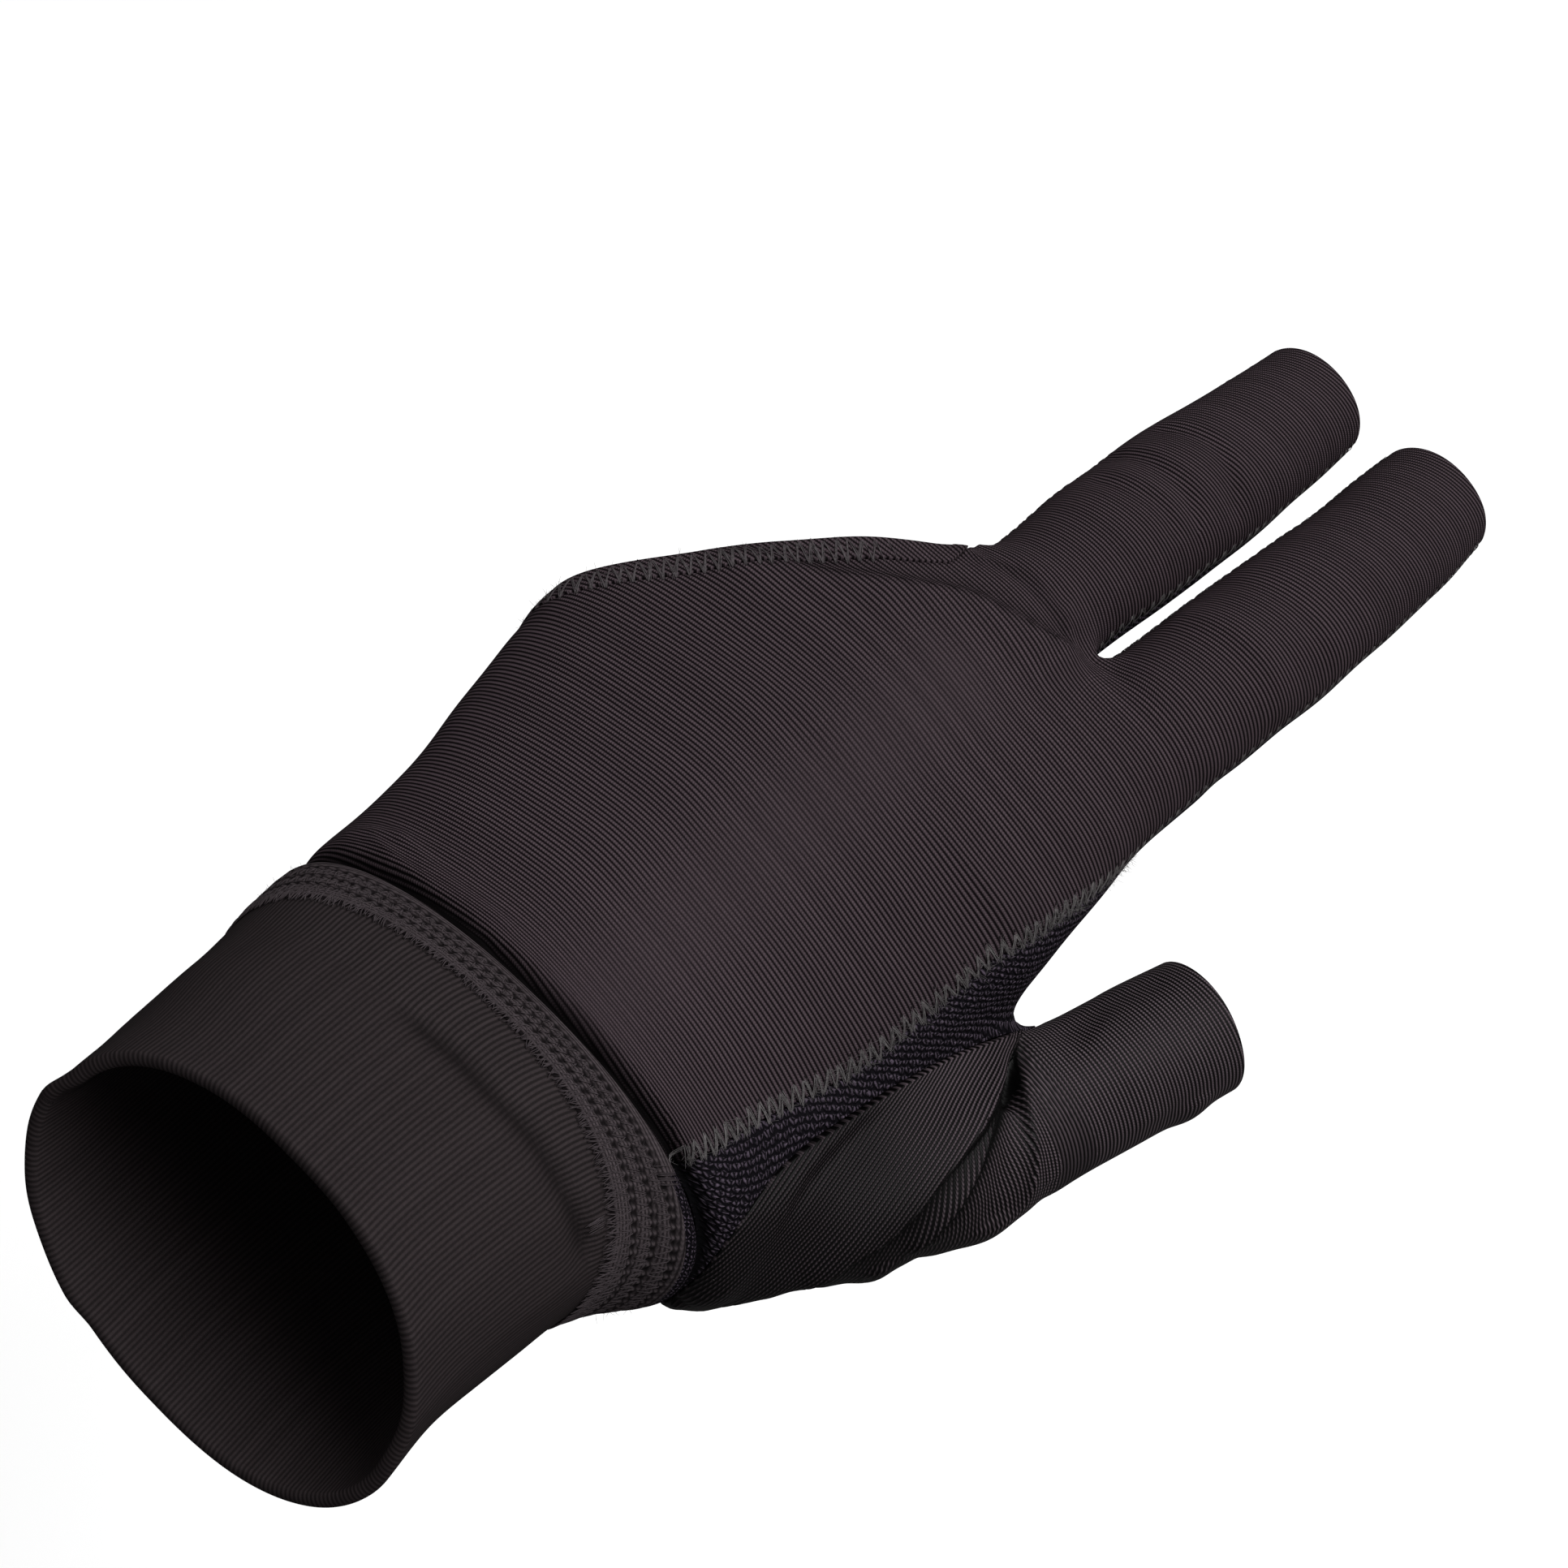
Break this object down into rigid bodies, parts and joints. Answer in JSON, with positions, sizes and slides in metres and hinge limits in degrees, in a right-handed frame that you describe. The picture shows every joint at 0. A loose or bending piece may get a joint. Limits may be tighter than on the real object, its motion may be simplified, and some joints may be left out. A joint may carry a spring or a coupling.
{
  "type": "billiard glove",
  "caption": "Left-hand billiard glove in its worn shape: wrist cuff, stalls for thumb, index and middle finger, and a side opening for the other two.",
  "frame": {"origin": "centre of the wrist, where the cuff joins the hand", "axes": "+X towards the fingertips, +Y towards the little finger, +Z out of the back of the hand"},
  "size_m": [0.2156, 0.1056, 0.0614],
  "materials": {
    "cuff_knit": "doubled elastic knit with fine ribs along the arm",
    "rib_knit": "matt ribbed stretch knit",
    "mesh_knit": "coarse open mesh knit",
    "smooth_knit": "smooth stretch knit with a slight sheen"
  },
  "bodies": {
    "root": {"cuff": "cuff_knit", "join_band": "rib_knit", "back_panel": "rib_knit", "palm_panel": "mesh_knit", "thumb_stall": "smooth_knit", "opening_hem": "rib_knit"}
  },
  "joints": []
}
